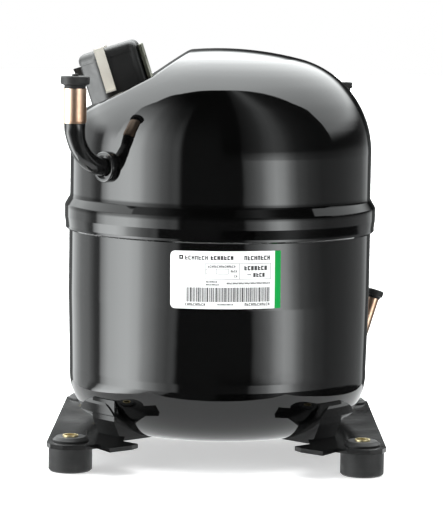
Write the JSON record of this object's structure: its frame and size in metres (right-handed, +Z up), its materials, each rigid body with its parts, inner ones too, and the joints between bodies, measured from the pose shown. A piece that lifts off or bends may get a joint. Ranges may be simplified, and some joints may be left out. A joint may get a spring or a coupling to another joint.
{
  "type": "hermetic reciprocating compressor",
  "caption": "Welded drum-shaped refrigeration compressor on rubber-mounted bracket feet, with tube stubs, a clipped terminal cover, and a sprung motor and piston pump inside.",
  "frame": {"origin": "point on the ground plane under the shell's axis, at the centre of the four mounting holes", "axes": "+Z up along the shell's axis; -Y is the front with the rating label; +X is to the right seen from the front"},
  "size_m": [0.2322, 0.223, 0.2852],
  "materials": {
    "black_paint": "gloss",
    "black_paint_satin": "semi-gloss",
    "label": "printed film",
    "rubber": "matte",
    "zinc_yellow": "satin",
    "copper": "satin",
    "copper_plate": "satin",
    "brazed_steel": "satin",
    "black_plastic": "matte",
    "spring_steel": "satin",
    "glass": "gloss",
    "steel": "satin",
    "cast_iron": "machined",
    "aluminium": "satin",
    "gasket": "matte",
    "laminations": "satin",
    "enamelled_wire": "gloss",
    "white_plastic": "matte"
  },
  "bodies": {
    "shell": {"upper_shell": "black_paint", "lower_shell": "black_paint", "seam_weld": "black_paint", "rating_label": "label", "left_bracket": "black_paint_satin", "right_bracket": "black_paint_satin", "mounting_grommets": "rubber", "grommet_sleeves": "zinc_yellow", "suction_tube": "black_paint_satin", "suction_connector": "copper", "suction_collar": "black_paint_satin", "discharge_tube": "copper", "discharge_collar": "black_paint_satin", "process_tube": "copper", "process_collar": "black_paint_satin", "terminal_fence": "brazed_steel", "hermetic_terminal": "brazed_steel", "glass_seals": "glass", "terminal_pins": "steel", "start_relay": "white_plastic", "overload_protector": "black_plastic", "spring_seats": "steel"},
    "pump_unit": {"crankcase": "cast_iron", "valve_plate_gasket": "gasket", "valve_plate": "steel", "head_gasket": "gasket", "cylinder_head": "aluminium", "head_bolts": "steel", "valve_stop": "steel", "suction_muffler": "white_plastic", "discharge_muffler": "cast_iron", "discharge_loop": "copper_plate", "stator_core": "laminations", "lower_winding": "enamelled_wire", "upper_winding": "enamelled_wire", "stator_bolts": "steel", "spring_pads": "white_plastic", "suspension_springs": "spring_steel"},
    "crankshaft": {"crankshaft": "cast_iron", "rotor_core": "laminations", "rotor_end_rings": "aluminium", "balance_weight": "steel"},
    "oil_pickup": {"oil_pickup": "steel"},
    "piston": {"piston": "cast_iron"},
    "slide_block": {"slide_block": "brazed_steel"},
    "suction_reed": {"suction_reed": "spring_steel"},
    "discharge_reed": {"discharge_reed": "spring_steel"},
    "terminal_cover": {"terminal_cover": "black_plastic", "cover_strap": "spring_steel"},
    "suction_plug": {"suction_plug": "rubber"},
    "discharge_plug": {"discharge_plug": "rubber"},
    "process_plug": {"process_plug": "rubber"}
  },
  "joints": [
    {"name": "unit_float", "type": "slide", "parent": "shell", "child": "pump_unit", "axis": [0, 0, 1], "range_m": [-0.0015, 0.0015], "stiffness_N_per_m": 40000, "springref_m": 0.00323, "deforming": ["suspension_springs", "discharge_loop"]},
    {"name": "crank_turn", "type": "hinge", "parent": "pump_unit", "child": "crankshaft", "pos_m": [0, 0, 0.11], "axis": [0, 0, 1], "continuous": true},
    {"name": "pickup_turn", "type": "hinge", "parent": "crankshaft", "child": "oil_pickup", "pos_m": [0.00592, 0, 0.05], "axis": [0, 0, 1], "continuous": true},
    {"name": "piston_travel", "type": "hinge", "parent": "oil_pickup", "child": "piston", "pos_m": [0.01185, 0, 0.0657], "axis": [0, 0, 1], "continuous": true},
    {"name": "slide_block_turn", "type": "hinge", "parent": "crankshaft", "child": "slide_block", "pos_m": [0.01185, 0, 0.0657], "axis": [0, 0, 1], "continuous": true},
    {"name": "suction_reed_flex", "type": "hinge", "parent": "pump_unit", "child": "suction_reed", "pos_m": [0.0668, -0.008, 0.0794], "axis": [0, 1, 0], "range_deg": [0, 3], "stiffness_Nm_per_rad": 0.05},
    {"name": "discharge_reed_flex", "type": "hinge", "parent": "pump_unit", "child": "discharge_reed", "pos_m": [0.0707, 0.008, 0.0794], "axis": [0, -1, 0], "range_deg": [0, 3.5], "stiffness_Nm_per_rad": 0.05},
    {"name": "cover_lift", "type": "slide", "parent": "shell", "child": "terminal_cover", "axis": [-0.309, 0, 0.9511], "range_m": [0, 0.05]},
    {"name": "suction_plug_pull", "type": "slide", "parent": "shell", "child": "suction_plug", "axis": [0, 0, 1], "range_m": [0, 0.05]},
    {"name": "discharge_plug_pull", "type": "slide", "parent": "shell", "child": "discharge_plug", "axis": [0.2947, 0.1567, 0.9426], "range_m": [0, 0.05]},
    {"name": "process_plug_pull", "type": "slide", "parent": "shell", "child": "process_plug", "axis": [0, 0, 1], "range_m": [0, 0.05]}
  ],
  "couplings": [
    {"joint": "pickup_turn", "follows": "crank_turn", "ratio": -2},
    {"joint": "piston_travel", "follows": "crank_turn", "ratio": 1},
    {"joint": "slide_block_turn", "follows": "crank_turn", "ratio": -1}
  ]
}
